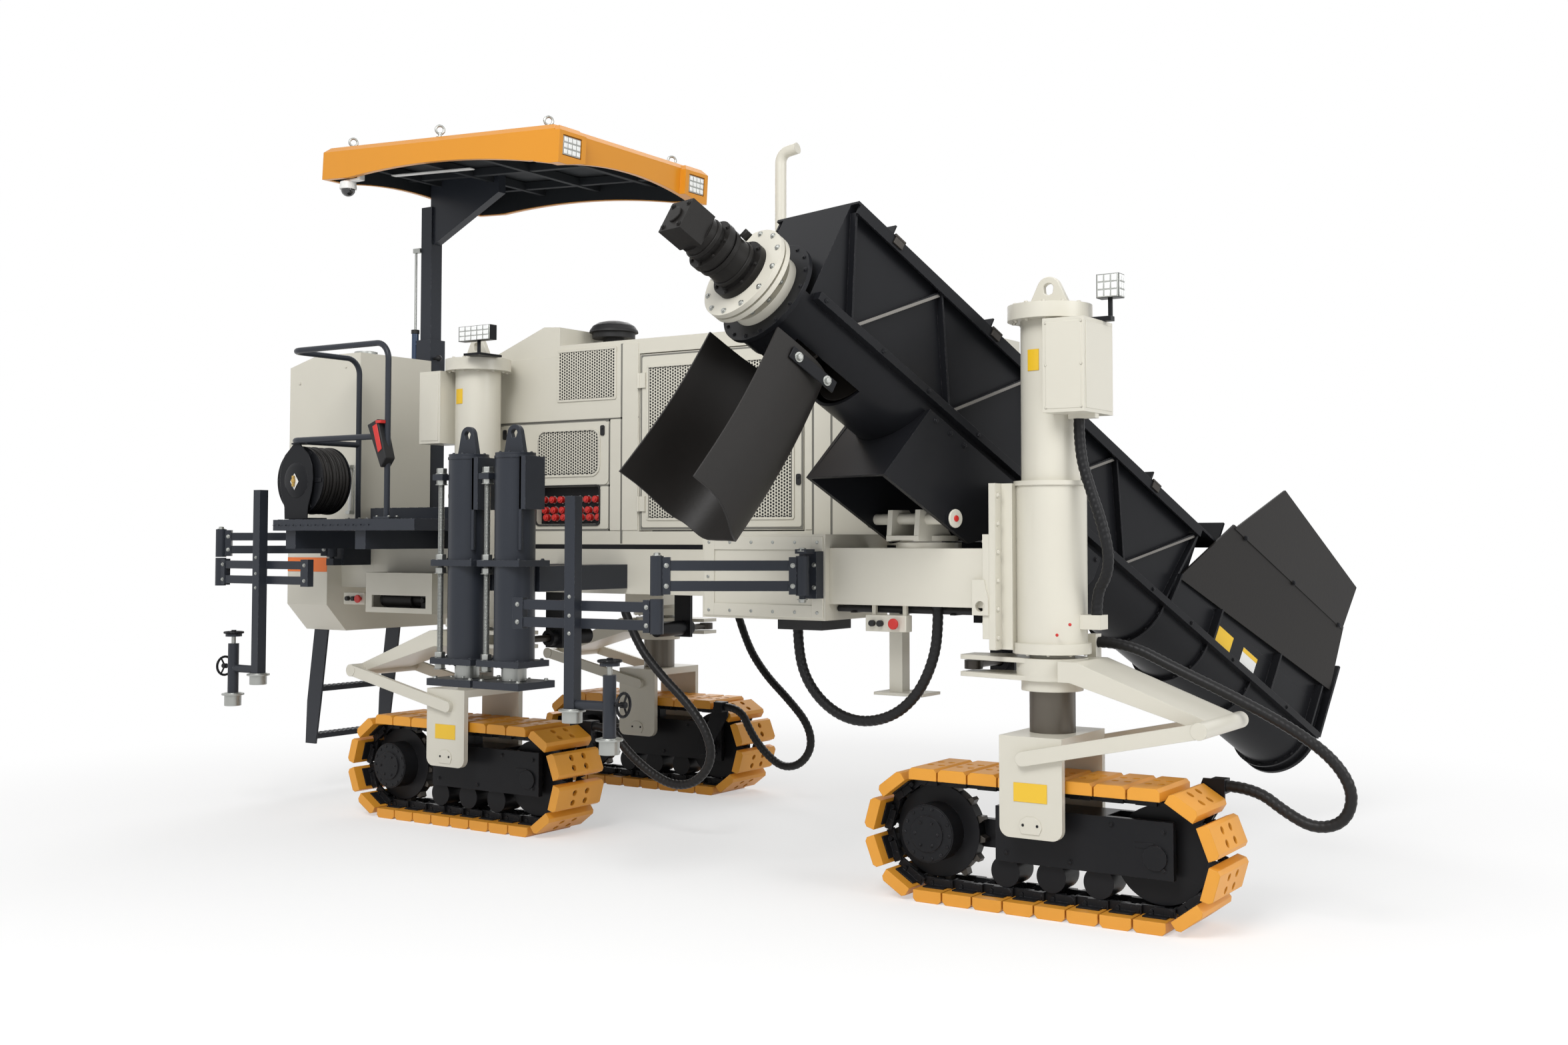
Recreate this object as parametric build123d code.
"""Three-track slipform paver for kerbs and barriers.

Frame: X forwards, Y to the left (the far side), Z up, millimetres.
Origin: bottom centre of the whole machine's bounding box, on the ground.
"""
import math
import os

from build123d import *

os.makedirs("parts", exist_ok=True)

# Clearances shared by the whole machine
RUN_GAP = 6.0          # between pieces that move past each other
TOUCH_GAP = 0.5        # between curved faces of one body
PIN_GAP = 1.0          # pin in its own eye

# From the layout's own zero, between the rear legs, to the middle of the machine
MIDDLE_X = 176.0
MIDDLE_Y = -56.0

# Legs: steering axis in plan, and the side to which the torque link points
LEG_NAMES = ("front", "rear_near", "rear_far")
LEG_X = {"front": 2370.0, "rear_near": -1155.0, "rear_far": -1155.0}
LEG_Y = {"front": -780.0, "rear_near": -600.0, "rear_far": 1030.0}
LINK_SIDE = {"front": 1, "rear_near": -1, "rear_far": -1}

# Track belts
TRACK_HEIGHT = 570.0
SPROCKET_X = -530.0
IDLER_X = 485.0
PAD_COUNT = 24
PAD_THICK = 45.0
PAD_WIDTH = 350.0
PAD_CHAMFER = 14.0
PAD_GAP = 8.0
CHAIN_THICK = 40.0
CHAIN_WIDTH = 150.0

# Track frames
FRAME_LENGTH_REAR = 220.0
FRAME_LENGTH_FRONT = 560.0
FRAME_DROP = 85.0       # frame's underside below the wheels' centre
FRAME_BELT_GAP = 54.5   # frame's top below the inside of the chain
FRAME_HALF = 70.0
HUB_HALF = 60.0
HOSE_PLATE = (185.0, 195.0)
HOSE_PLATE_TOP = 575.0
HOSE_PLATE_FRONT = 674.0
SIDE_PLATE = 30.0
DRIVE_R = 125.0
DRIVE_HALF = 130.0
WHEEL_HALF = 30.0
ROLLER_R = 66.0
ROLLER_XS = (-190.0, 20.0, 230.0)

# Yokes, which straddle the belts
YOKE_LENGTH = 280.0
YOKE_PLATE = 30.0
YOKE_DIP = 45.0         # yoke plates below the top of the wheels' centre line
YOKE_TOP = 745.0
YOKE_SIDE_GAP = 20.0
YOKE_CORNER = 45.0
ROD_R = 95.0
ROD_TOP = 1450.0
YOKE_PIN_R = 30.0
YOKE_PIN_RISE = 100.0   # yoke pin above the wheels' centre

# Steering collars and torque links
COLLAR_LOW = 920.0
COLLAR_HIGH = 1058.0
COLLAR_RING_R = 130.0
COLLAR_R = 150.0
LEVER_REACH = 400.0
LEVER_PLATE = 20.0
LEVER_LOW = 965.0
LEVER_HALF = 65.0
LINK_REACH = 721.0
LINK_HINGE_Z = 816.0
LINK_HINGE_R = 34.0
LINK_ARM_HALF = 170.0
LINK_ARM_THICK = 90.0
LINK_LOW_X = 26.0
LINK_LOW_Z = 655.0
LINK_BAR = 25.0
LINK_BAR_HEIGHT = 60.0

# Leg columns
SLEEVE_LOW = 1075.0
SLEEVE_R = 150.0
SLEEVE_BORE_R = 101.0
SLEEVE_TOP = 1800.0
COLUMN_R = 125.0
COLUMN_TOP = 2500.0
HEAD_R = 180.0
HEAD_THICK = 66.0
LUG_HEIGHT = 100.0
LUG_THICK = 25.0
LUG_HOLE_R = 25.0

# Main frame
FRAME_NEAR = -440.0
FRAME_FAR = 870.0
FRAME_REAR = -2150.0
FRAME_FRONT = 1465.0
BEAM_LOW = 1264.0
BEAM_HIGH = 1500.0
BEAM_WIDTH = 150.0
CROSS_WIDTH = 120.0
SADDLE = 30.0
JOINT_BOX_REAR = 690.0
JOINT_BOX_FRONT = 1370.0
JOINT_BOX_LOW = 1190.0
JOINT_BOX_HIGH = 1576.0
JOINT_BOX_NEAR = -990.0

# Front beam
ARM_HALF = 175.0
ARM_LOW = 1264.0
ARM_HIGH = 1515.0
LEG_FLANGE = 30.0
PARK_POST_X = 1630.0
PARK_POST_LOW = 876.0
PARK_POST_HALF = 33.0
PARK_FOOT = (1546.0, 1790.0)
PARK_FOOT_HALF = 85.0
PARK_FOOT_THICK = 13.0
TOW_EYE_R = 22.0

# Steering cylinders: middle of the lever's fork in height, sizes of barrel and rod
STEER_BARREL_R = 45.0
STEER_ROD_R = 18.0
STEER_EYE_R = 40.0
STEER_EYE_HALF = 19.0

# Engine housing
HOOD_REAR = -1250.0
HOOD_FRONT = 1465.0
HOOD_NEAR = -400.0
HOOD_FAR = 830.0
HOOD_LOW = 1525.0
HOOD_HIGH = 2620.0
HOOD_WALL = 40.0
HUMP_HIGH = 2730.0
DOOR_REAR = -165.0
DOOR_FRONT = 870.0
DOOR_LOW = 1600.0
DOOR_HIGH = 2535.0
HINGE_X = -168.0
HINGE_OUT = 14.0        # hinge pins stand off the housing's sides
HINGE_R = 9.0

# Rear platform, tank and canopy
DECK_LOW = 1600.0
DECK_HIGH = 1660.0
DECK_NEAR = -1200.0
DECK_REAR = -2120.0
TANK_REAR = -2790.0
TANK_NEAR = -550.0
MAST_X = -2250.0
MAST_Y = 90.0
MAST_HALF = 62.0
MAST_TOP = 3640.0
CANOPY_REAR = -2290.0
CANOPY_FRONT = -440.0
CANOPY_NEAR = -750.0
CANOPY_FAR = 560.0
CANOPY_LOW_REAR = 3670.0
CANOPY_LOW_FRONT = 3560.0
CANOPY_RISE = 190.0
CANOPY_WALL = 30.0
CANOPY_ARCH = 45.0
CANOPY_ARCH_LONG = 700.0
CANOPY_ARCH_WIDE = 480.0
CANOPY_CORNER = 40.0    # lamp corners stand ahead of the front face
GUIDE_TOP = 2800.0
CYLINDER_X = -2341.0
CYLINDER_Y = 46.0
CYLINDER_R = 22.0
CYLINDER_ROD_R = 8.0
CYLINDER_LOW = 1900.0
CYLINDER_TOP = 2855.0
CYLINDER_EYE_Z = 3370.0

# Mould lift columns
LIFT_XS = (-305.0, -623.0)
LIFT_Y = -1200.0
LIFT_R = 100.0
LIFT_LOW = 930.0
LIFT_HIGH = 1980.0
LIFT_ROD_R = 60.0
FOOT_LOW = 825.0
FOOT_HIGH = 860.0
FOOT_BOLT_X = 240.0
FOOT_BOLT_Y = 200.0
FOOT_BOLT_R = 11.0

# Screw conveyor: local frame x down the trough, y to its left, z square to both
SLEW_X = 1792.0
SLEW_Y = -800.0
CONVEYOR_HEADING = 73.8
CONVEYOR_SLOPE = 29.6
CONVEYOR_Z = 2028.0
LUFF_A = 101.0          # luffing pin in the conveyor's own frame
LUFF_C = -386.0
LUFF_PIN_R = 25.0
LUFF_BOSS_R = 57.0
CRADLE_GAP = 8.0
CRADLE_PLATE = 22.0
TROUGH_R = 200.0
TROUGH_WALL = 15.0
TROUGH_UP_END = -1000.0
TROUGH_LOW_END = 3100.0
PANEL_HIGH = 450.0
PANEL_END = 1700.0
COVER_END = 1840.0
LIP_LOW = 412.0
RAIL = 45.0
RIB = 12.0
STRUT = 22.0

PITCH_R = TRACK_HEIGHT / 2 - PAD_THICK - CHAIN_THICK / 2
WHEEL_R = TRACK_HEIGHT / 2 - PAD_THICK - CHAIN_THICK - TOUCH_GAP
TRACK_Z = TRACK_HEIGHT / 2
FRAME_LOW = TRACK_Z - FRAME_DROP
FRAME_HIGH = TRACK_Z + WHEEL_R - FRAME_BELT_GAP
YOKE_LOW = TRACK_Z + YOKE_DIP
YOKE_PIN_Z = TRACK_Z + YOKE_PIN_RISE


def box(x0, x1, y0, y1, z0, z1):
    """A box between two corners."""
    return Pos((x0 + x1) / 2, (y0 + y1) / 2, (z0 + z1) / 2) * Box(abs(x1 - x0), abs(y1 - y0), abs(z1 - z0))


def rod(start, end, radius):
    """A round bar from one point to another."""
    a = Vector(*start)
    b = Vector(*end)
    plane = Plane(origin=a, z_dir=b - a)
    return plane * Cylinder(radius, (b - a).length, align=(Align.CENTER, Align.CENTER, Align.MIN))


def pipe(start, end, radius, bore):
    """A round tube from one point to another."""
    return rod(start, end, radius) - rod(start, end, bore)


def side_plate(points, y0, y1, radius=0.0, corners=()):
    """A plate cut in the XZ plane from its outline, with some corners rounded."""
    face = make_face(Polyline(*[(x, z) for x, z in points], close=True))
    if radius:
        picked = [v for v in face.vertices() if any(math.dist((v.X, v.Y), c) < 1.0 for c in corners)]
        face = fillet(picked, radius)
    flat = Plane(origin=(0, y0, 0), x_dir=(1, 0, 0), z_dir=(0, -1, 0)) * face
    return extrude(flat, amount=-(y1 - y0))


def top_plate(points, z0, z1):
    """A plate cut in the XY plane from its outline."""
    face = make_face(Polyline(*points, close=True))
    return extrude(Pos(0, 0, z0) * face, amount=z1 - z0)


def front_plate(points, x0, x1):
    """A plate cut in the YZ plane from its outline."""
    face = make_face(Polyline(*points, close=True))
    flat = Plane(origin=(x0, 0, 0), x_dir=(0, 1, 0), z_dir=(1, 0, 0)) * face
    return extrude(flat, amount=x1 - x0)


def save(name, shape):
    """Write one node's solids, measured from the middle of the machine."""
    export_step(Pos(-MIDDLE_X, -MIDDLE_Y, 0) * shape, f"parts/{name}.step")


def lift_lug(x, y, z, height, half, thick, hole_r):
    """A lifting eye with a round top, standing along X."""
    plate = side_plate([(-half, 0), (half, 0), (half * 0.45, height - half * 0.3),
                        (-half * 0.45, height - half * 0.3)],
                       -thick / 2, thick / 2)
    plate += rod((0, -thick / 2, height - half * 0.45), (0, thick / 2, height - half * 0.45), half * 0.5)
    plate -= rod((0, -thick, height - half * 0.45), (0, thick, height - half * 0.45), hole_r)
    return Pos(x, y, z) * plate


# Belts: one chain band with a pad on each link
def belt_point(s):
    """Place and direction on the chain's pitch line, s measured from above the sprocket."""
    run = IDLER_X - SPROCKET_X
    turn = math.pi * PITCH_R
    s = s % (2 * run + 2 * turn)
    if s < run:
        return SPROCKET_X + s, TRACK_Z + PITCH_R, 0.0
    s -= run
    if s < turn:
        angle = s / PITCH_R
        return IDLER_X + PITCH_R * math.sin(angle), TRACK_Z + PITCH_R * math.cos(angle), -math.degrees(angle)
    s -= turn
    if s < run:
        return IDLER_X - s, TRACK_Z - PITCH_R, -180.0
    s -= run
    angle = s / PITCH_R
    return SPROCKET_X - PITCH_R * math.sin(angle), TRACK_Z - PITCH_R * math.cos(angle), -180.0 - math.degrees(angle)


def make_belt():
    run = IDLER_X - SPROCKET_X
    middle = (IDLER_X + SPROCKET_X) / 2
    outer_r = PITCH_R + CHAIN_THICK / 2
    inner_r = PITCH_R - CHAIN_THICK / 2
    ring = SlotCenterToCenter(run, 2 * outer_r) - SlotCenterToCenter(run, 2 * inner_r)
    flat = Plane(origin=(middle, 0, TRACK_Z), x_dir=(1, 0, 0), z_dir=(0, -1, 0)) * ring
    belt = extrude(flat, amount=CHAIN_WIDTH / 2, both=True)
    pitch = (2 * run + 2 * math.pi * PITCH_R) / PAD_COUNT
    half = (pitch - PAD_GAP) / 2
    low = CHAIN_THICK / 2 - 4.0
    high = CHAIN_THICK / 2 + PAD_THICK
    outline = [(-half, low), (half, low), (half, high - PAD_CHAMFER), (half - PAD_CHAMFER, high),
               (-half + PAD_CHAMFER, high), (-half, high - PAD_CHAMFER)]
    pad = side_plate(outline, -PAD_WIDTH / 2, PAD_WIDTH / 2)
    pads = []
    for index in range(PAD_COUNT):
        x, z, angle = belt_point(index * pitch)
        pads.append(Pos(x, 0, z) * Rot(0, -angle, 0) * pad)
    return belt + pads


def make_track_frame():
    frame = box(-FRAME_LENGTH_REAR, IDLER_X - WHEEL_R - 15, -FRAME_HALF, FRAME_HALF, FRAME_LOW, FRAME_HIGH)
    for side in (-1, 1):
        inner = side * FRAME_HALF
        outer = side * (FRAME_HALF + SIDE_PLATE)
        frame += box(-FRAME_LENGTH_REAR, FRAME_LENGTH_FRONT, min(inner, outer), max(inner, outer), FRAME_LOW,
                     FRAME_HIGH)
    frame += box(SPROCKET_X, -FRAME_LENGTH_REAR + 10, WHEEL_HALF, FRAME_HALF,
                 TRACK_Z - HUB_HALF, TRACK_Z + HUB_HALF)
    for x, radius, half in ((SPROCKET_X, DRIVE_R, DRIVE_HALF), (IDLER_X, 50.0, FRAME_HALF + SIDE_PLATE + 10)):
        frame += rod((x, -half, TRACK_Z), (x, half, TRACK_Z), radius)
        frame += rod((x, -WHEEL_HALF, TRACK_Z), (x, WHEEL_HALF, TRACK_Z), WHEEL_R)
    roller_z = TRACK_Z - WHEEL_R + ROLLER_R
    for x in ROLLER_XS:
        frame += rod((x, -FRAME_HALF, roller_z), (x, FRAME_HALF, roller_z), ROLLER_R)
    frame += box(-30, 30, -WHEEL_HALF, WHEEL_HALF, FRAME_HIGH, TRACK_Z + WHEEL_R)
    frame += rod((IDLER_X, 0, TRACK_Z), (IDLER_X, HOSE_PLATE[1], TRACK_Z), 30)
    hose_side = [(IDLER_X - 35, TRACK_Z - 40), (IDLER_X + 35, TRACK_Z - 40),
                 (HOSE_PLATE_FRONT, HOSE_PLATE_TOP - 90),
                 (HOSE_PLATE_FRONT, HOSE_PLATE_TOP), (HOSE_PLATE_FRONT - 90, HOSE_PLATE_TOP)]
    frame += side_plate(hose_side, *HOSE_PLATE)
    frame += box(HOSE_PLATE_FRONT - 60, HOSE_PLATE_FRONT, HOSE_PLATE[1] - 1, HOSE_PLATE[1] + 60,
                 HOSE_PLATE_TOP - 60, HOSE_PLATE_TOP)
    frame -= rod((0, -PAD_WIDTH, YOKE_PIN_Z), (0, PAD_WIDTH, YOKE_PIN_Z), YOKE_PIN_R + PIN_GAP)
    return frame


YOKE_INNER = PAD_WIDTH / 2 + YOKE_SIDE_GAP
YOKE_OUTER = YOKE_INNER + YOKE_PLATE


def make_yoke():
    half = YOKE_LENGTH / 2
    outline = [(-half, YOKE_LOW), (half, YOKE_LOW), (half, YOKE_TOP), (-half, YOKE_TOP)]
    low_corners = [(-half, YOKE_LOW), (half, YOKE_LOW)]
    yoke = side_plate(outline, -YOKE_OUTER, -YOKE_INNER, YOKE_CORNER, low_corners)
    yoke += side_plate(outline, YOKE_INNER, YOKE_OUTER, YOKE_CORNER, low_corners)
    yoke += box(-half, half, -YOKE_INNER, YOKE_INNER, YOKE_TOP - 40, YOKE_TOP)
    yoke += rod((0, 0, YOKE_TOP), (0, 0, ROD_TOP), ROD_R)
    yoke += rod((0, -YOKE_OUTER, YOKE_PIN_Z), (0, YOKE_OUTER, YOKE_PIN_Z), YOKE_PIN_R)
    return yoke


def make_torque_link(side):
    link = rod((0, 0, COLLAR_LOW), (0, 0, LEVER_LOW), COLLAR_RING_R)
    link += rod((0, 0, LEVER_LOW), (0, 0, COLLAR_HIGH), COLLAR_R)
    for low in (LEVER_LOW, COLLAR_HIGH - LEVER_PLATE):
        link += top_plate([(0, -COLLAR_R), (-side * LEVER_REACH, -LEVER_HALF),
                           (-side * LEVER_REACH, LEVER_HALF),
                           (0, COLLAR_R)], low, low + LEVER_PLATE)
    arm = [(side * 100, COLLAR_HIGH - 5), (side * 180, COLLAR_HIGH - 5),
           (side * LINK_REACH, LINK_HINGE_Z + LINK_HINGE_R),
           (side * LINK_REACH, LINK_HINGE_Z - LINK_HINGE_R * 0.4),
           (side * 150, COLLAR_HIGH - LINK_ARM_THICK), (side * 100, COLLAR_HIGH - LINK_ARM_THICK)]
    link += side_plate(arm, -LINK_ARM_HALF, LINK_ARM_HALF)
    reach = YOKE_OUTER + LINK_BAR + 4
    link += rod((side * LINK_REACH, -reach, LINK_HINGE_Z), (side * LINK_REACH, reach, LINK_HINGE_Z),
                LINK_HINGE_R)
    dx = LINK_REACH + LINK_LOW_X
    dz = LINK_HINGE_Z - LINK_LOW_Z
    length = math.hypot(dx, dz)
    tilt = math.degrees(math.atan2(dz, dx))
    for near in (-1, 1):
        y0 = near * (YOKE_OUTER + 1)
        y1 = near * (YOKE_OUTER + 1 + LINK_BAR)
        bar = box(0, length, min(y0, y1), max(y0, y1), -LINK_BAR_HEIGHT / 2, LINK_BAR_HEIGHT / 2)
        bar += rod((0, y0 - near, 0), (0, y1, 0), LINK_BAR_HEIGHT / 2)
        bar = Pos(-LINK_LOW_X, 0, LINK_LOW_Z) * Rot(0, -tilt, 0) * bar
        if side < 0:
            bar = bar.mirror(Plane.YZ)
        link += bar
    link -= rod((0, 0, COLLAR_LOW - 1), (0, 0, COLLAR_HIGH + 1), ROD_R + PIN_GAP)
    return link


BELT = make_belt()
TRACK_FRAME = make_track_frame()
YOKE = make_yoke()
TRACK_FRAME_FAR = TRACK_FRAME.mirror(Plane.XZ)
HOSE_CLAMP = box(90, 130, 160, 220, COLLAR_HIGH - 60, 1150)
for leg in LEG_NAMES:
    place = Pos(LEG_X[leg], LEG_Y[leg], 0)
    save(f"track_belt_{leg}", place * BELT)
    save(f"track_frame_{leg}", place * (TRACK_FRAME_FAR if leg == "rear_far" else TRACK_FRAME))
    save(f"yoke_{leg}", place * YOKE)
    link = make_torque_link(LINK_SIDE[leg])
    if leg == "front":
        link += HOSE_CLAMP
    save(f"torque_link_{leg}", place * link)


# Leg columns: outer sleeve, tube, head flange, lifting eye and valve box
def make_column(valves, bracket):
    column = pipe((0, 0, SLEEVE_LOW), (0, 0, SLEEVE_LOW + 45), SLEEVE_R + 15, SLEEVE_BORE_R)
    column += pipe((0, 0, SLEEVE_LOW + 45), (0, 0, SLEEVE_TOP), SLEEVE_R, SLEEVE_BORE_R)
    column += pipe((0, 0, SLEEVE_TOP - 20), (0, 0, SLEEVE_TOP), SLEEVE_R + 8, SLEEVE_BORE_R)
    column += rod((0, 0, SLEEVE_TOP), (0, 0, COLUMN_TOP), COLUMN_R)
    column += rod((0, 0, COLUMN_TOP - 20), (0, 0, COLUMN_TOP + HEAD_THICK - 20), HEAD_R)
    column += lift_lug(0, 0, COLUMN_TOP + HEAD_THICK - 20, LUG_HEIGHT, 62.0, LUG_THICK, LUG_HOLE_R)
    column += valves
    column += bracket
    return column


front_flange = box(-200, -170, -190, 190, SLEEVE_LOW + 15, SLEEVE_TOP - 10)
front_flange += box(-172, -120, -130, 130, SLEEVE_LOW + 15, SLEEVE_TOP - 10)
front_flange -= rod((0, 0, SLEEVE_LOW), (0, 0, SLEEVE_TOP), SLEEVE_BORE_R)
front_box = box(60, 245, -210, 90, 2075, 2465) - rod((0, 0, 2000), (0, 0, 2500), COLUMN_R - 5)
rear_box = box(-280, -120, -170, 30, 2080, 2480)
saddle_near = box(-150, 150, 130, LEG_Y["rear_near"] * -1 + FRAME_NEAR, SLEEVE_LOW + 65, BEAM_HIGH)
saddle_near += box(-150, 150, 0, 131, SLEEVE_LOW + 65, BEAM_HIGH)
saddle_near -= rod((0, 0, SLEEVE_LOW), (0, 0, SLEEVE_TOP), SLEEVE_BORE_R)
saddle_far = saddle_near.mirror(Plane.XZ)
front_glands = box(120, 240, -90, -50, 2055, 2076) + box(140, 235, -40, 40, 1180, 1240)
columns = Part()
for leg, valves, bracket in (("front", front_box + front_glands, front_flange),
                             ("rear_near", rear_box, saddle_near),
                             ("rear_far", rear_box.mirror(Plane.XZ), saddle_far)):
    columns += Pos(LEG_X[leg], LEG_Y[leg], 0) * make_column(valves, bracket)
save("leg_columns", columns)

# Main frame: two long beams, cross beams and the bolted joint box of the front arm
frame = box(FRAME_REAR, FRAME_FRONT, FRAME_NEAR, FRAME_NEAR + BEAM_WIDTH, BEAM_LOW, BEAM_HIGH)
frame += box(FRAME_REAR, FRAME_FRONT, FRAME_FAR - BEAM_WIDTH, FRAME_FAR, BEAM_LOW, BEAM_HIGH)
for x in (FRAME_REAR, HOOD_REAR, -300.0, 600.0, FRAME_FRONT - CROSS_WIDTH):
    frame += box(x, x + CROSS_WIDTH, FRAME_NEAR + BEAM_WIDTH, FRAME_FAR - BEAM_WIDTH, BEAM_LOW, BEAM_HIGH)
frame += box(JOINT_BOX_REAR, JOINT_BOX_FRONT, JOINT_BOX_NEAR, FRAME_NEAR, JOINT_BOX_LOW, JOINT_BOX_HIGH)
tray = box(-2040, -1500, FRAME_NEAR - 160, FRAME_NEAR, 1130, BEAM_LOW + 96)
tray -= box(-2028, -1512, FRAME_NEAR - 148, FRAME_NEAR - 12, 1142, BEAM_LOW + 100)
tray -= box(-1990, -1550, FRAME_NEAR - 161, FRAME_NEAR - 140, 1160, 1230)
frame += tray
frame += box(-2040, -1500, FRAME_NEAR - 12, FRAME_NEAR + 10, 1130, BEAM_LOW + 60)
frame -= box(JOINT_BOX_REAR - 1, FRAME_FRONT, HOOD_NEAR - RUN_GAP, FRAME_FAR, HOOD_LOW - 1, JOINT_BOX_HIGH + 1)
save("main_frame", frame)

# Hood sill: the black strip between frame and housing
save("hood_sill", box(HOOD_REAR, HOOD_FRONT, HOOD_NEAR, HOOD_FAR, BEAM_HIGH, HOOD_LOW)
     - box(HOOD_REAR + 90, HOOD_FRONT - 90, HOOD_NEAR + 90, HOOD_FAR - 90, BEAM_HIGH - 1, HOOD_LOW + 1))

# Front arm: box beam from the joint box to the front leg, with towing eye and parking post
arm_y = LEG_Y["front"]
arm_front = LEG_X["front"] - 200.0
arm = box(JOINT_BOX_FRONT, arm_front, arm_y - ARM_HALF, arm_y + ARM_HALF, ARM_LOW, ARM_HIGH)
arm += box(arm_front - LEG_FLANGE, arm_front, arm_y - 190, arm_y + 190, SLEEVE_LOW + 60, ARM_HIGH)
arm += box(arm_front - LEG_FLANGE, arm_front, arm_y - 190, arm_y + 130, ARM_HIGH, ARM_HIGH + 60)
arm += box(PARK_POST_X - PARK_POST_HALF, PARK_POST_X + PARK_POST_HALF, arm_y - PARK_POST_HALF,
           arm_y + PARK_POST_HALF, PARK_POST_LOW, ARM_LOW)
arm += box(*PARK_FOOT, arm_y - PARK_FOOT_HALF, arm_y + PARK_FOOT_HALF, PARK_POST_LOW - PARK_FOOT_THICK,
           PARK_POST_LOW)
arm += rod((SLEW_X, SLEW_Y, ARM_HIGH), (SLEW_X, SLEW_Y, ARM_HIGH + 25), 145)
tow_x = arm_front - 20.0
tow = side_plate([(tow_x - 55, ARM_LOW + 120), (tow_x, ARM_LOW + 120), (tow_x + 20, ARM_LOW + 40),
                  (tow_x + 20, ARM_LOW - 30),
                  (tow_x - 55, ARM_LOW - 30)], arm_y - ARM_HALF - 25, arm_y - ARM_HALF)
arm += tow - rod((tow_x - 18, -2000, ARM_LOW + 8), (tow_x - 18, 0, ARM_LOW + 8), TOW_EYE_R)
save("front_arm", arm)

# Engine and its housing
save("engine_block", box(-280, 880, -150, 580, BEAM_HIGH, 2250))
hood_side = [(HOOD_REAR, HOOD_LOW), (HOOD_FRONT, HOOD_LOW), (HOOD_FRONT, HOOD_HIGH), (-735, HOOD_HIGH),
             (-735, HUMP_HIGH - 8), (-850, HUMP_HIGH), (HOOD_REAR, 2580)]
hood = side_plate(hood_side, HOOD_NEAR, HOOD_FAR)
hood -= box(HOOD_REAR + HOOD_WALL, HOOD_FRONT - HOOD_WALL, HOOD_NEAR + HOOD_WALL, HOOD_FAR - HOOD_WALL,
            HOOD_LOW - 1, 2540)
door_gap = RUN_GAP
for y0, y1 in ((HOOD_NEAR - 1, HOOD_NEAR + HOOD_WALL + 1), (HOOD_FAR - HOOD_WALL - 1, HOOD_FAR + 1)):
    hood -= box(DOOR_REAR - door_gap, DOOR_FRONT + door_gap, y0, y1, DOOR_LOW - door_gap, DOOR_HIGH + door_gap)
service = box(-896, -444, HOOD_NEAR - 1, HOOD_NEAR + HOOD_WALL + 1, 1636, 1839)
hood -= service
save("hood_shell", hood)
for name, face, out in (("near", HOOD_NEAR, -1), ("far", HOOD_FAR, 1)):
    pin_y = face + out * HINGE_OUT
    inside = face - out * HOOD_WALL
    door = box(DOOR_REAR, DOOR_FRONT, min(face, inside), max(face, inside), DOOR_LOW, DOOR_HIGH)
    for z in (DOOR_LOW + 100, DOOR_HIGH - 180):
        door += rod((HINGE_X, pin_y, z), (HINGE_X, pin_y, z + 80), HINGE_R)
        door += box(HINGE_X, HINGE_X + 45, min(pin_y, pin_y - out * 6), max(pin_y, pin_y - out * 6), z, z + 80)
        door += box(HINGE_X + 20, HINGE_X + 45, min(pin_y, face), max(pin_y, face), z, z + 80)
    save(f"hood_door_{name}", door)
save("air_intake", rod((-600, -100, HOOD_HIGH), (-600, -100, 2680), 60)
     + rod((-600, -100, 2680), (-600, -100, 2745), 120))
stack_x = 330.0
stack_y = 200.0
save("exhaust_stack", rod((stack_x, stack_y, HOOD_HIGH), (stack_x, stack_y, 3660), 30)
     + rod((stack_x, stack_y, 3660), (stack_x + 100, stack_y, 3700), 30)
     + Pos(stack_x, stack_y, 3660) * Sphere(30))
save("coupling_panel", box(-906, -434, HOOD_NEAR + HOOD_WALL, HOOD_NEAR + HOOD_WALL + 60, 1600, 1880))

# Water tank: a low box across the rear and a tall one at the near side
low_tank = front_plate([(TANK_NEAR, 1160), (TANK_NEAR + 150, 1000), (830, 1000), (980, 1160), (980, 1560),
                        (TANK_NEAR, 1560)], TANK_REAR, -2435)
tall_tank = side_plate([(TANK_REAR, 1560), (-2165, 1560), (-2165, 2660), (-2560, 2660), (TANK_REAR, 2600)],
                       TANK_NEAR, 15)
save("water_tank", low_tank + tall_tank)
save("tank_bracket", box(-2435, FRAME_REAR, FRAME_NEAR, FRAME_FAR, BEAM_LOW, BEAM_HIGH)
     - box(-2400, FRAME_REAR - 35, FRAME_NEAR + 150, FRAME_FAR - 150, BEAM_LOW - 1, BEAM_HIGH + 1))

# Platform with its step, posts and hand rail
deck = box(DECK_REAR, -1330, DECK_NEAR, TANK_NEAR - 10, DECK_LOW, DECK_HIGH)
deck += box(-1340, -1010, DECK_NEAR, LEG_Y["rear_near"] - HEAD_R, DECK_LOW, DECK_HIGH)
deck += box(DECK_REAR, -1330, TANK_NEAR - 11, 750, DECK_LOW, DECK_HIGH)
deck += box(DECK_REAR, -1330, TANK_NEAR + 50, 750, DECK_HIGH, DECK_HIGH + 75)
for x in (DECK_REAR + 60, -1500.0):
    deck += box(x, x + 80, DECK_NEAR + 40, FRAME_NEAR + BEAM_WIDTH, BEAM_HIGH, DECK_LOW)
deck -= box(MAST_X - MAST_HALF - 40, MAST_X + MAST_HALF + 40, MAST_Y - MAST_HALF - 40, MAST_Y + MAST_HALF + 40,
            1590, 1800)
reel = (-2010.0, -1010.0, 1880.0)
deck += box(reel[0] - 60, reel[0] + 60, reel[1] - 125, reel[1] + 40, DECK_HIGH, DECK_HIGH + 12)
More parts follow.
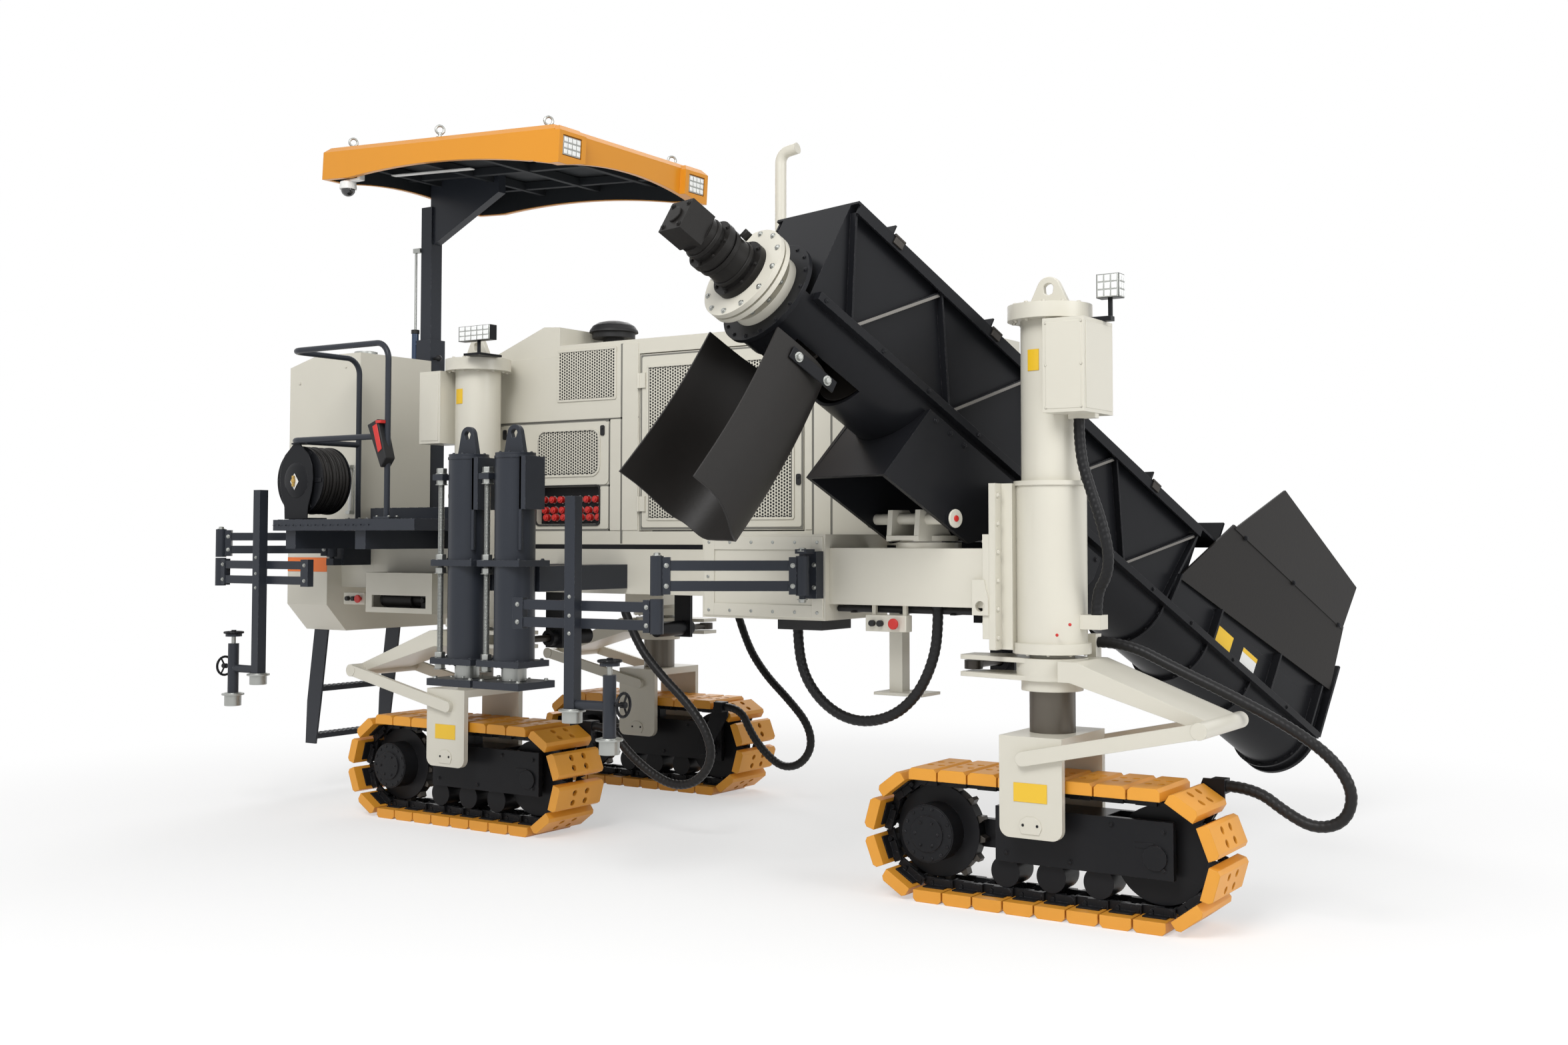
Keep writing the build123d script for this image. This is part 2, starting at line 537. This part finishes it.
deck += side_plate([(reel[0] - 60, DECK_HIGH), (reel[0] + 60, DECK_HIGH), (reel[0] + 110, reel[2]),
                    (reel[0] + 60, reel[2] + 150), (reel[0] - 60, reel[2] + 150), (reel[0] - 110, reel[2])],
                   reel[1] - 120, reel[1] - 108)
deck += rod((reel[0], reel[1] - 110, reel[2]), (reel[0], reel[1] + 110, reel[2]), 20)
save("platform_deck", deck)

rail_r = 16.0
post_1 = (-1270.0, -1150.0)
corner = (-2060.0, -1150.0)
post_2 = (-2060.0, -650.0)
route = FilletPolyline((*post_1, DECK_HIGH), (*post_1, 2600), (*corner, 2600), (*post_2, 2600),
                       (*post_2, DECK_HIGH),
                       radius=90)
rail = sweep(Plane(origin=(*post_1, DECK_HIGH), z_dir=(0, 0, 1)) * Circle(rail_r), path=route)
middle_route = FilletPolyline((*post_1, 2100), (*corner, 2100), (*post_2, 2100), radius=90)
rail += sweep(Plane(origin=(*post_1, 2100), z_dir=(-1, 0, 0)) * Circle(rail_r), path=middle_route)
for point in (post_1, post_2):
    rail += box(point[0] - 60, point[0] + 60, point[1] - 40, point[1] + 40, DECK_HIGH, DECK_HIGH + 12)
save("hand_rail", rail)

# Ladder at the rear
ladder = Part()
for y in (-398.0, 180.0):
    ladder += side_plate([(-2720, 1000), (-2600, 1000), (-2660, 560), (-2700, 300), (-2790, 300),
                          (-2780, 560)], y, y + 12)
for x, z in ((-2715, 620.0), (-2745, 330.0)):
    ladder += box(x - 40, x + 50, -398, 192, z, z + 30)
save("ladder", ladder)

# Hose reel on the platform
drum = pipe((reel[0], reel[1] - 100, reel[2]), (reel[0], reel[1] - 94, reel[2]), 190, 20 + PIN_GAP)
drum += pipe((reel[0], reel[1] + 94, reel[2]), (reel[0], reel[1] + 100, reel[2]), 190, 20 + PIN_GAP)
drum += pipe((reel[0], reel[1] - 94, reel[2]), (reel[0], reel[1] + 94, reel[2]), 165, 20 + PIN_GAP)
save("reel_drum", drum)

# Canopy on its sliding mast
tilt = math.degrees(math.atan2(CANOPY_LOW_REAR - CANOPY_LOW_FRONT, CANOPY_FRONT - CANOPY_REAR))
length = CANOPY_FRONT - CANOPY_REAR
width = CANOPY_FAR - CANOPY_NEAR
half_long = length / 2
half_wide = width / 2
roof = box(-half_long, half_long - CANOPY_CORNER, -half_wide, half_wide, 0, CANOPY_RISE)
roof = chamfer(roof.edges().group_by(Axis.Z)[-1], CANOPY_WALL)
for side in (-1, 1):
    y0 = side * (half_wide - 215)
    y1 = side * half_wide
    block = box(half_long - 180, half_long, min(y0, y1), max(y0, y1), -22, CANOPY_RISE - 8)
    roof += chamfer(block.edges().group_by(Axis.Z)[-1], CANOPY_WALL)
roof -= box(-half_long + CANOPY_WALL, half_long - CANOPY_CORNER - CANOPY_WALL, -half_wide + CANOPY_WALL,
            half_wide - CANOPY_WALL, -CANOPY_WALL, CANOPY_RISE - CANOPY_WALL)
for chord, long_way in ((CANOPY_ARCH_LONG, True), (CANOPY_ARCH_WIDE, False)):
    arch_r = (chord ** 2 + CANOPY_ARCH ** 2) / (2 * CANOPY_ARCH)
    low = CANOPY_ARCH - arch_r
    ends = ((0, -length, low), (0, length, low)) if long_way else ((-length, 0, low), (length, 0, low))
    roof -= rod(*ends, arch_r)
for side in (-1, 1):
    lamp_y = side * (half_wide - 105)
    roof -= box(half_long - 14, half_long + 1, lamp_y - 75, lamp_y + 75, 22, 132)
canopy_place = Pos((CANOPY_REAR + CANOPY_FRONT) / 2, (CANOPY_NEAR + CANOPY_FAR) / 2,
                   (CANOPY_LOW_REAR + CANOPY_LOW_FRONT) / 2) * Rot(0, tilt, 0)
save("canopy_shell", canopy_place * roof)
canopy_slope = math.radians(tilt)
canopy_x = (CANOPY_REAR + CANOPY_FRONT) / 2
canopy_z = (CANOPY_LOW_REAR + CANOPY_LOW_FRONT) / 2


def ceiling(x):
    """Height of the roof's underside above a place along the machine."""
    ceiling = canopy_z + (CANOPY_RISE - CANOPY_WALL) / math.cos(canopy_slope)
    return ceiling - (x - canopy_x) * math.tan(canopy_slope)


inner = 45.0
mast = box(MAST_X - inner, MAST_X + inner, MAST_Y - inner, MAST_Y + inner, 1700, MAST_TOP)
gusset_rear = CANOPY_REAR + CANOPY_WALL + 30.0
gusset_front = MAST_X + 600.0
mast += side_plate([(MAST_X - inner, MAST_TOP), (MAST_X - inner, MAST_TOP - 120),
                    (MAST_X + inner, MAST_TOP - 240),
                    (gusset_front, MAST_TOP + 30), (gusset_front, ceiling(gusset_front)),
                    (gusset_rear, ceiling(gusset_rear)), (gusset_rear, MAST_TOP)], MAST_Y - 30, MAST_Y + 30)
save("canopy_mast", mast)
guide = box(MAST_X - MAST_HALF, MAST_X + MAST_HALF, MAST_Y - MAST_HALF, MAST_Y + MAST_HALF, BEAM_HIGH,
            GUIDE_TOP)
guide += box(-2430, FRAME_REAR, MAST_Y - MAST_HALF, MAST_Y + MAST_HALF, BEAM_HIGH, BEAM_HIGH + 20)
guide -= box(MAST_X - inner - RUN_GAP, MAST_X + inner + RUN_GAP,
             MAST_Y - inner - RUN_GAP, MAST_Y + inner + RUN_GAP, BEAM_HIGH - 1, GUIDE_TOP + 1)
save("mast_guide", guide)

# Lifting cylinder of the canopy, beside the mast
barrel = pipe((CYLINDER_X, CYLINDER_Y, CYLINDER_LOW), (CYLINDER_X, CYLINDER_Y, CYLINDER_TOP), CYLINDER_R,
              CYLINDER_ROD_R + RUN_GAP)
barrel += rod((CYLINDER_X, CYLINDER_Y, CYLINDER_LOW - 15), (CYLINDER_X, CYLINDER_Y, CYLINDER_LOW), CYLINDER_R)
for z in (CYLINDER_LOW - 15, GUIDE_TOP - 30):
    barrel += box(CYLINDER_X, MAST_X - MAST_HALF, CYLINDER_Y - 16, CYLINDER_Y + 16, z, z + 15) - rod(
        (CYLINDER_X, CYLINDER_Y, z - 1), (CYLINDER_X, CYLINDER_Y, z + 16), CYLINDER_R - 1)
save("canopy_cylinder", barrel)
piston = rod((CYLINDER_X, CYLINDER_Y, CYLINDER_TOP - 300), (CYLINDER_X, CYLINDER_Y, CYLINDER_EYE_Z),
             CYLINDER_ROD_R)
piston += box(CYLINDER_X - 14, MAST_X - inner, CYLINDER_Y - 14, CYLINDER_Y + 14, CYLINDER_EYE_Z - 14,
              CYLINDER_EYE_Z + 14)
save("canopy_cylinder_rod", piston)

# Mould lift columns, their brackets and rods
lift = Part()
for x in LIFT_XS:
    lift += pipe((x, LIFT_Y, LIFT_LOW), (x, LIFT_Y, LIFT_HIGH), LIFT_R, LIFT_ROD_R + RUN_GAP)
    lift += rod((x, LIFT_Y, LIFT_HIGH - 15), (x, LIFT_Y, LIFT_HIGH), LIFT_R)
    lift += lift_lug(x, LIFT_Y, LIFT_HIGH, 120.0, 55.0, 25.0, 22.0)
    for z in (LIFT_LOW, 1420.0):
        plate = box(x - 150, x + 130, LIFT_Y - 110, LIFT_Y + 110, z, z + 30)
        lift += plate - rod((x, LIFT_Y, z - 1), (x, LIFT_Y, z + 31), LIFT_R - 5)
    lift += box(x - 90, x + 90, LIFT_Y + 80, FRAME_NEAR, BEAM_LOW + 30, 1420) - rod(
        (x, LIFT_Y, LIFT_LOW), (x, LIFT_Y, LIFT_HIGH), LIFT_R - 5)
    lift += rod((x - 130, LIFT_Y - 60, LIFT_LOW - 30), (x - 130, LIFT_Y - 60, 1900), 13)
    lift += box(x + 90, x + 130, LIFT_Y - 70, LIFT_Y + 70, 1700, 1960)
save("lift_columns", lift)
for name, x in zip(("front", "rear"), LIFT_XS):
    piece = rod((x, LIFT_Y, FOOT_HIGH), (x, LIFT_Y, 1750), LIFT_ROD_R)
    piece += box(x - 150, x + 150, LIFT_Y - 130, LIFT_Y + 130, FOOT_LOW, FOOT_HIGH)
    for dx, dy in ((-1, -1), (1, -1), (-1, 1), (1, 1)):
        bolt = (x + dx * FOOT_BOLT_X / 2, LIFT_Y + dy * FOOT_BOLT_Y / 2)
        piece -= rod((*bolt, FOOT_LOW - 1), (*bolt, FOOT_HIGH + 1), FOOT_BOLT_R)
    save(f"lift_rod_{name}", piece)


# Screw conveyor, made level in its own frame and then set on the turntable
def conveyor_plane():
    heading = math.radians(CONVEYOR_HEADING)
    slope = math.radians(CONVEYOR_SLOPE)
    down = Vector(math.cos(heading) * math.cos(slope), math.sin(heading) * math.cos(slope), -math.sin(slope))
    up = Vector(math.cos(heading) * math.sin(slope), math.sin(heading) * math.sin(slope), math.cos(slope))
    return Plane(origin=(SLEW_X, SLEW_Y, CONVEYOR_Z), x_dir=down, z_dir=up)


CONVEYOR = conveyor_plane().location
TROUGH_OUT = TROUGH_R + TROUGH_WALL


def half_round(radius, x0, x1):
    return rod((x0, 0, 0), (x1, 0, 0), radius) - box(x0 - 1, x1 + 1, -radius - 1, radius + 1, 0, radius + 1)


# Ribs of the upper side panels and the struts between them: place at the top and at the bottom, along the trough
PANEL_RIBS = ((-1000.0, -800.0), (-430.0, -156.0), (230.0, 500.0), (920.0, 1200.0), (1650.0, 1570.0))
PANEL_STRUTS = ((-775.0, -440.0), (-130.0, 215.0), (515.0, 905.0), (1215.0, 1635.0))
# Gussets under the hopper's flaps: place along the trough, height, reach from the trough's side
HOPPER_GUSSETS = ((1600.0, 170.0, 60.0), (2000.0, 186.0, 45.0), (2570.0, 224.0, 45.0), (3000.0, 252.0, 45.0))
TROUGH_RINGS = (1590.0, 2000.0, 2420.0, 3030.0)
CROSS_BARS = (-800.0, -120.0, 500.0, 1180.0)

trough = half_round(TROUGH_OUT, TROUGH_UP_END - 60, TROUGH_LOW_END)
for side in (-1, 1):
    y0 = side * TROUGH_R
    y1 = side * TROUGH_OUT
    trough += box(TROUGH_UP_END, PANEL_END, min(y0, y1), max(y0, y1), 0, PANEL_HIGH)
    trough += box(PANEL_END - 1, TROUGH_LOW_END, min(y0, y1), max(y0, y1), 0, 170)
    y2 = side * (TROUGH_OUT + RAIL)
    trough += box(TROUGH_UP_END, TROUGH_LOW_END, min(y1, y2), max(y1, y2), -15, 20)
    y3 = side * (TROUGH_OUT + RAIL - 12)
    trough += box(TROUGH_UP_END, PANEL_END - 40, min(y3, y2), max(y3, y2), LIP_LOW, PANEL_HIGH)
    for top_x, low_x in PANEL_RIBS:
        rib = [(top_x, LIP_LOW + 5), (top_x + RIB, LIP_LOW + 5), (low_x + RIB, 15), (low_x, 15)]
        trough += side_plate(rib, min(y1, y3), max(y1, y3))
    for (low_x, top_x) in PANEL_STRUTS:
        y4 = side * (TROUGH_OUT + STRUT)
        strut = [(low_x, 15), (low_x + STRUT, 15), (top_x + STRUT, LIP_LOW + 5), (top_x, LIP_LOW + 5)]
        trough += side_plate(strut, min(y1, y4), max(y1, y4))
    for x, high, reach in HOPPER_GUSSETS:
        y5 = side * (TROUGH_OUT + reach)
        trough += front_plate([(y1 - side, 15), (y2, 15), (y5, high), (y1 - side, high)], x, x + RIB)
for x in TROUGH_RINGS:
    trough += half_round(TROUGH_OUT + 20, x, x + RIB)
trough += box(TROUGH_UP_END - 15, COVER_END, -TROUGH_OUT - RAIL, TROUGH_OUT + RAIL, PANEL_HIGH, PANEL_HIGH + 12)
trough += box(COVER_END - 12, COVER_END, -TROUGH_OUT - 20, TROUGH_OUT + 20, PANEL_HIGH, 590)
for x in CROSS_BARS:
    trough += box(x, x + 8, -TROUGH_OUT - RAIL, TROUGH_OUT + RAIL, PANEL_HIGH + 11, PANEL_HIGH + 50)
trough += box(TROUGH_UP_END - 15, TROUGH_UP_END, -TROUGH_OUT, TROUGH_OUT, 0, PANEL_HIGH)
trough += rod((TROUGH_UP_END - 75, 0, 0), (TROUGH_UP_END - 55, 0, 0), 235)
trough += rod((TROUGH_LOW_END, 0, 0), (TROUGH_LOW_END + 20, 0, 0), 235)
trough += box(TROUGH_LOW_END, TROUGH_LOW_END + 15, -TROUGH_OUT - RAIL, TROUGH_OUT + RAIL, 0, 420)
trough -= half_round(TROUGH_R, TROUGH_UP_END - 50, TROUGH_LOW_END)
trough -= box(TROUGH_UP_END + 60, TROUGH_UP_END + 450, -150, 150, -TROUGH_OUT - 5, -100)
trough -= rod((TROUGH_UP_END - 100, 0, 0), (TROUGH_LOW_END + 60, 0, 0), 46)
save("auger_trough", CONVEYOR * trough)

cradle_side = [(-242, -50), (-339, -430), (240, -430), (340, -345), (410, -266), (700, -250), (1019, -222),
               (1050, -162), (1050, -50)]
cradle_in = TROUGH_OUT + CRADLE_GAP
cradle = Part()
for side in (-1, 1):
    y0 = side * cradle_in
    y1 = side * (cradle_in + CRADLE_PLATE)
    plate = side_plate(cradle_side, min(y0, y1), max(y0, y1))
    plate += rod((LUFF_A, y0, LUFF_C), (LUFF_A, side * (cradle_in + CRADLE_PLATE + 12), LUFF_C),
                 LUFF_BOSS_R - 17)
    cradle += plate - rod((LUFF_A, -300, LUFF_C), (LUFF_A, 300, LUFF_C), LUFF_PIN_R + PIN_GAP)
cradle += side_plate([(-242, -60), (-230, -60), (-325, -430), (-339, -430)], -cradle_in, cradle_in)
for x in (560.0, 1030.0):
    cradle += box(x, x + 12, -cradle_in, cradle_in, -TROUGH_OUT - 20, -60)
cradle -= rod((-360, 0, 0), (1060, 0, 0), TROUGH_OUT + TOUCH_GAP)
save("auger_cradle", CONVEYOR * cradle)

turn = Pos(SLEW_X, SLEW_Y, 0) * Rot(0, 0, CONVEYOR_HEADING)
slope = math.radians(CONVEYOR_SLOPE)
luff_x = LUFF_A * math.cos(slope) + LUFF_C * math.sin(slope)
luff_z = CONVEYOR_Z - LUFF_A * math.sin(slope) + LUFF_C * math.cos(slope)
table = rod((0, 0, ARM_HIGH + 25 + RUN_GAP), (0, 0, ARM_HIGH + 55), 130)
for side in (-1, 1):
    table += side_plate([(-165, ARM_HIGH + 30), (60, ARM_HIGH + 30), (luff_x + 50, luff_z + 40),
                         (luff_x - 50, luff_z + 40)],
                        side * 85 - 15, side * 85 + 15)
table += box(-165, 60, -100, 100, ARM_HIGH + 35, ARM_HIGH + 55)
table += rod((luff_x, -cradle_in - CRADLE_PLATE - 14, luff_z), (luff_x, cradle_in + CRADLE_PLATE + 14, luff_z),
             LUFF_PIN_R)
save("auger_turntable", turn * table)

screw = rod((TROUGH_UP_END - 60, 0, 0), (TROUGH_LOW_END + 20, 0, 0), 38)
for index in range(15):
    x = TROUGH_UP_END + 200 + index * 260.0
    screw += rod((x, 0, 0), (x + 12, 0, 0), 178)
save("auger_screw", CONVEYOR * screw)

head = TROUGH_UP_END - 75
bearing = pipe((head - 40, 0, 0), (head, 0, 0), 165, 50) + pipe((head - 88, 0, 0), (head - 39, 0, 0), 110, 50)
bearing += pipe((head - 108, 0, 0), (head - 87, 0, 0), 210, 50)
bearing += pipe((head - 118, 0, 0), (head - 107, 0, 0), 190, 50)
bearing += pipe((head - 140, 0, 0), (head - 117, 0, 0), 210, 50)
save("auger_bearing", CONVEYOR * bearing)
motor = rod((head - 170, 0, 0), (head - 140, 0, 0), 130) + rod((head - 300, 0, 0), (head - 169, 0, 0), 100)
motor += rod((head - 330, 0, 0), (head - 299, 0, 0), 112) + rod((head - 400, 0, 0), (head - 329, 0, 0), 85)
motor += box(head - 520, head - 399, -70, 70, -70, 70)
save("auger_motor", CONVEYOR * motor)

# Rubber chute: a bent sheet that hangs square to the trough below its outlet
def chute_outline(half, thick, x_open, x_close):
    outer = [(x_open, -half), (x_close - half, -half), (x_close, -half * 0.4), (x_close, half * 0.4),
             (x_close - half, half),
             (x_open, half)]
    t = thick
    bend_x = x_close - half - t * 0.4
    bend_y = half * 0.4 - t * 0.4
    inner_side = [(x_open, half - t), (bend_x, half - t), (x_close - t, bend_y), (x_close - t, -bend_y),
                  (bend_x, -half + t), (x_open, -half + t)]
    return make_face(Polyline(*(outer + inner_side), close=True))


chute = loft([Pos(0, 0, -TROUGH_OUT - 2) * chute_outline(225, 12, TROUGH_UP_END, -430),
              Pos(0, 0, -850) * chute_outline(300, 12, TROUGH_UP_END - 20, -400)])
save("auger_chute", CONVEYOR * chute)

# Hopper: a rubber flap at each side that leans out, and a tall sheet bolted to the near one
FLAP_LEAN = 9.8
FLAP_SHEET = 12.0
flap_side = [(1640, 172), (3098, 275), (2977, 604), (1835, 588)]
sheet_side = [(1845, 562), (2970, 577), (2993, 848), (2142, 964)]
flap = side_plate(flap_side, -FLAP_SHEET, 0)
flap = Pos(0, -TROUGH_OUT - 2, 172) * Rot(FLAP_LEAN, 0, 0) * Pos(0, 0, -172) * flap
near_flap = flap + side_plate(sheet_side, -TROUGH_OUT - 88, -TROUGH_OUT - 76)
hopper = near_flap + flap.mirror(Plane.XZ)
save("auger_hopper", CONVEYOR * hopper)


# Grade sensor arms: two links side by side in plan, a post and a screw jack
def make_link(a, b, z_low, z_high, bar):
    """A pair of flat bars between two uprights."""
    heading = math.degrees(math.atan2(b[1] - a[1], b[0] - a[0]))
    span = math.dist(a, b)
    link = box(20, span - 20, -15, 15, z_low, z_low + bar) + box(20, span - 20, -15, 15, z_high - bar, z_high)
    link += pipe((0, 0, z_low - 20), (0, 0, z_high + 20), 30, 16)
    link += box(26, 60, -20, 20, z_low - 15, z_high + 15)
    link += box(span - 60, span - 26, -20, 20, z_low - 15, z_high + 15)
    link += rod((span, 0, z_low - 20), (span, 0, z_high + 20), 30)
    return Pos(a[0], a[1], 0) * Rot(0, 0, heading) * link


def make_post(x, jack_x, y, z0, z1):
    """A square post with its foot, and a screw jack beside it."""
    post = box(x - 28, x + 28, y - 28, y + 28, z0, z1)
    post += rod((x, y, z0 - 60), (x, y, z0), 45)
    post += rod((x, y, z0 + 20), (jack_x, y, z0 + 20), 22)
    post += rod((jack_x, y, z0 - 120), (jack_x, y, z0 + 160), 30)
    post += rod((jack_x, y, z0 - 190), (jack_x, y, z0 - 120), 45)
    post += rod((jack_x, y, z0 + 160), (jack_x, y, z0 + 215), 12)
    post += rod((jack_x, y, z0 + 200), (jack_x, y, z0 + 225), 45)
    return post


SENSOR = (
    # name, pivot, elbow, tip, post's side, post and jack along the link, link heights, post foot, post top
    ("front", (1320.0, -1100.0), (780.0, -1450.0), (-2.0, -1520.0), 1, 425.0, 222.0,
     (1325.0, 1460.0), (1150.0, 1275.0), 790.0, 1750.0),
    ("rear", (-2220.0, -700.0), (-2700.0, -1100.0), (-1924.0, -1100.0), -1, 397.0, 179.0,
     (1470.0, 1590.0), (1300.0, 1430.0), 800.0, 1830.0),
)
for name, pivot, elbow, tip, side, post_x, jack_x, first, second, foot, top in SENSOR:
    save(f"sensor_link_{name}", make_link(pivot, elbow, first[0], first[1], 45))
    span = math.dist(elbow, tip)
    heading = math.degrees(math.atan2(tip[1] - elbow[1], tip[0] - elbow[0]))
    lower = box(20, span - 20, -15, 15, second[0], second[0] + 45)
    lower += box(20, span - 20, -15, 15, second[1] - 45, second[1])
    lower += rod((0, 0, second[0] - 15), (0, 0, second[1] + 15), 30)
    lower += box(26, 60, -20, 20, second[0] - 10, second[1] + 10)
    lower += box(span - 60, span, -20, 20, second[0] - 10, second[1] + 10)
    lower += make_post(post_x, jack_x, side * 40, foot, top)
    save(f"sensor_post_{name}", Pos(elbow[0], elbow[1], 0) * Rot(0, 0, heading) * lower)
sensor_brackets = (box(JOINT_BOX_FRONT - 90, JOINT_BOX_FRONT - 10, -1050, JOINT_BOX_NEAR, 1290, 1500)
                   + rod((1320, -1100, 1290), (1320, -1100, 1500), 15)
                   + box(1290, 1350, -1115, -1045, 1490, 1510))
sensor_brackets += (box(-2260, -2180, -650, FRAME_NEAR, 1400, BEAM_HIGH)
                    + rod((-2220, -700, 1430), (-2220, -700, 1630), 15)
                    + box(-2250, -2190, -715, -440, 1400, 1440))
save("sensor_brackets", sensor_brackets)

# Steering cylinders: barrels hung from the frame, rods that end in the levers' forks
FORK_Z = (LEVER_LOW + COLLAR_HIGH) / 2
STEER = (
    # leg, lever's end along X from the leg, way to the barrel, its ends from the leg, stroke each way, hanger, top
    ("front", -LEVER_REACH + 30, 1, (250.0, 630.0), 175.0, 130.0, ARM_LOW),
    ("rear_near", LEVER_REACH - 30, 1, (175.0, 480.0), 105.0, 235.0, BEAM_LOW),
    ("rear_far", LEVER_REACH - 30, -1, (175.0, 480.0), 105.0, 235.0, BEAM_LOW),
)
barrels = Part()
for leg, reach_x, way, ends, stroke, hanger, top in STEER:
    x = LEG_X[leg] + reach_x
    y = LEG_Y[leg]
    y0 = y + way * ends[0]
    y1 = y + way * ends[1]
    barrel = pipe((x, y0, FORK_Z), (x, y1, FORK_Z), STEER_BARREL_R, STEER_ROD_R + RUN_GAP)
    barrel += rod((x, y1, FORK_Z), (x, y1 + way * 20, FORK_Z), STEER_BARREL_R)
    hang_y = y + way * hanger
    hang_0 = min(hang_y - 12, hang_y + 12)
    plate = box(x - 60, x + 60, hang_0, hang_0 + 24, FORK_Z - 55, top)
    if leg == "front":
        plate += box(x - 60, x + 60, hang_0, y0 + 60, top - 80, top)
        plate += box(x - 60, x + 60, y0 + 30, y0 + 60, FORK_Z - 55, top)
        plate -= box(x - 61, x + 61, hang_0 - 1, hang_0 + 25, FORK_Z - 56, top - 80)
    barrel += plate - rod((x, y - 2000, FORK_Z), (x, y + 2000, FORK_Z), STEER_BARREL_R - 5)
    barrels += barrel
    shaft = rod((x, y, FORK_Z), (x, y + way * (ends[0] + stroke + 15), FORK_Z), STEER_ROD_R)
    shaft += rod((x, y, FORK_Z - STEER_EYE_HALF), (x, y, FORK_Z + STEER_EYE_HALF), STEER_EYE_R)
    save(f"steer_rod_{leg}", shaft)
save("steer_cylinders", barrels)

# Work lamps on the heads of the front leg and the near rear leg
lamp = box(2590, 2690, -800, -740, 2560, 2660) + rod((2640, -770, 2480), (2640, -770, 2561), 10)
lamp += box(2560, 2650, -790, -750, 2465, 2485)
rear_lamp = box(-1078, -845, -830, -780, 2620, 2700) + rod((-960, -795, 2550), (-960, -795, 2621), 10)
rear_lamp += box(-1060, -940, -810, -640, 2546, 2558)
save("work_lamps", lamp + rear_lamp)


# Hoses: straight runs joined by arcs as large as the runs allow
def make_hose(name, points, radius):
    radii = []
    vectors = [Vector(*p) for p in points]
    for before, here, after in zip(vectors, vectors[1:], vectors[2:]):
        turn = math.radians((here - before).get_angle(after - here))
        short = min((here - before).length, (after - here).length)
        radii.append(0.45 * short / math.tan(turn / 2))
    path = FilletPolyline(*points, radius=radii)
    ring = Plane(origin=points[0], z_dir=vectors[1] - vectors[0]) * Circle(radius)
    tube = sweep(ring, path=path)
    print(name, "length", round(path.length), "volume share",
          round(tube.volume / path.length / math.pi / radius ** 2, 3),
          "radii", [round(r) for r in radii])
    save(name, tube)


HOSE_R = 24.0
HOSES = (
    # name, points of the route
    ("hose_front_track", (
        (2500, -590, 1115), (2630, -590, 1115), (2840, -600, 1020), (3080, -598, 918),
        (3320, -590, 800), (3480, -580, 690), (3555, -570, 560), (3515, -562, 440),
        (3400, -560, 405), (3290, -560, 455), (3160, -560, 545), (3044, -560, 545))),
    ("hose_near_track", (
        (-250, -425, 1190), (-170, -420, 1010), (-20, -410, 850), (160, -395, 700),
        (275, -385, 560), (300, -380, 420), (200, -378, 300), (50, -378, 270),
        (-110, -380, 330), (-260, -383, 430), (-370, -385, 545), (-481, -385, 545))),
    ("hose_far_track", (
        (-420, 815, 1190), (-340, 815, 950), (-200, 815, 760), (-20, 815, 610),
        (110, 815, 480), (140, 815, 350), (60, 815, 240), (-70, 815, 215),
        (-190, 815, 290), (-290, 815, 395), (-370, 815, 545), (-481, 815, 545))),
    ("hose_arm_loop", (
        (1165, -900, 1190), (1165, -900, 1080), (1210, -920, 940), (1300, -925, 830),
        (1420, -925, 760), (1550, -925, 745), (1690, -925, 785), (1800, -920, 880),
        (1865, -910, 1010), (1890, -900, 1140), (1890, -900, 1264))),
    ("hose_leg_valve", (
        (2530, -850, 2055), (2530, -850, 1920), (2575, -850, 1770), (2625, -848, 1630),
        (2655, -842, 1490), (2635, -822, 1400), (2575, -785, 1330), (2575, -785, 1240))),
)
for name, points in HOSES:
    make_hose(name, points, HOSE_R)
